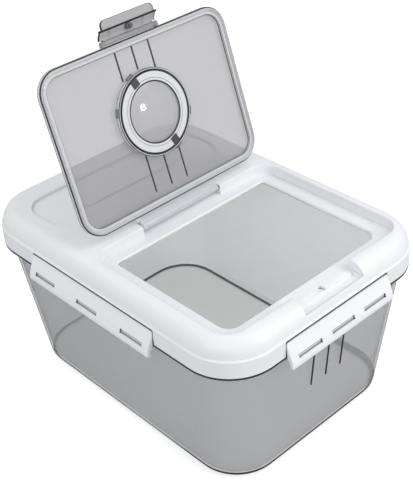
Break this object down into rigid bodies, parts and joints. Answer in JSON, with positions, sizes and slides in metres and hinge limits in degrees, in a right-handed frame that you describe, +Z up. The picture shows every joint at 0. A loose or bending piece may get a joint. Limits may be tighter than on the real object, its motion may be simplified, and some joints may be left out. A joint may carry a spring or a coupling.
{
  "type": "rice bin",
  "caption": "Clear tapered tub with a latched white lid, a hinged clear flap with a pull clasp and a round desiccant holder, standing open.",
  "frame": {"origin": "centre of the footprint at table level, midway between the latches' outer faces", "axes": "+Z up, -Y towards the clasp side, +X to the right seen from the clasp side"},
  "size_m": [0.2606, 0.3466, 0.3516],
  "materials": {
    "tub_clear": "clear, lightly smoked, glossy",
    "lid_white": "cool white, satin gloss",
    "flap_clear": "clear, smoked, glossy",
    "cap_clear": "clear, glossy",
    "lens_clear": "clear, glossy",
    "seal_clear": "translucent silicone, satin",
    "gasket_white": "silicone, satin",
    "bead_dark": "silicone, satin",
    "grip_gray": "dark gray, matte",
    "peg_gray": "gray, glossy",
    "pin_white": "white, glossy",
    "pin_steel": "drawn wire"
  },
  "bodies": {
    "base": {"tub": "tub_clear", "lid": "lid_white", "lid_gasket": "gasket_white", "flap_hinge_pin": "pin_steel", "latch_pin_front": "pin_white", "latch_pin_right": "pin_white", "latch_pin_rear": "pin_white", "latch_pin_left": "pin_white"},
    "flap": {"flap": "flap_clear", "flap_seal": "seal_clear", "clasp_pin": "pin_steel", "desiccant_tray": "cap_clear"},
    "clasp": {"clasp": "flap_clear", "clasp_peg": "peg_gray"},
    "latch_front": {"latch_front": "lid_white"},
    "latch_right": {"latch_right": "lid_white"},
    "latch_rear": {"latch_rear": "lid_white"},
    "latch_left": {"latch_left": "lid_white"},
    "desiccant_cap": {"desiccant_cap": "cap_clear", "cap_lens": "lens_clear", "cap_o_ring": "bead_dark", "cap_grips": "grip_gray"}
  },
  "joints": [
    {"name": "flap_hinge", "type": "hinge", "parent": "base", "child": "flap", "pos_m": [0, 0.0245, 0.171], "axis": [1, 0, 0], "range_deg": [0, 108]},
    {"name": "clasp_hinge", "type": "hinge", "parent": "flap", "child": "clasp", "pos_m": [0, 0.0749, 0.33001], "axis": [-1, 0, 0], "range_deg": [0, 70]},
    {"name": "latch_front_hinge", "type": "hinge", "parent": "base", "child": "latch_front", "pos_m": [0, -0.1684, 0.152], "axis": [-1, 0, 0], "range_deg": [0, 95]},
    {"name": "latch_right_hinge", "type": "hinge", "parent": "base", "child": "latch_right", "pos_m": [0.1254, 0, 0.152], "axis": [0, -1, 0], "range_deg": [0, 95]},
    {"name": "latch_rear_hinge", "type": "hinge", "parent": "base", "child": "latch_rear", "pos_m": [0, 0.1684, 0.152], "axis": [1, 0, 0], "range_deg": [0, 95]},
    {"name": "latch_left_hinge", "type": "hinge", "parent": "base", "child": "latch_left", "pos_m": [-0.1254, 0, 0.152], "axis": [0, 1, 0], "range_deg": [0, 95]},
    {"name": "cap_turn", "type": "hinge", "parent": "flap", "child": "desiccant_cap", "pos_m": [0, 0.04784, 0.26225], "axis": [0, 0.9511, -0.309], "range_deg": [0, 40]}
  ]
}
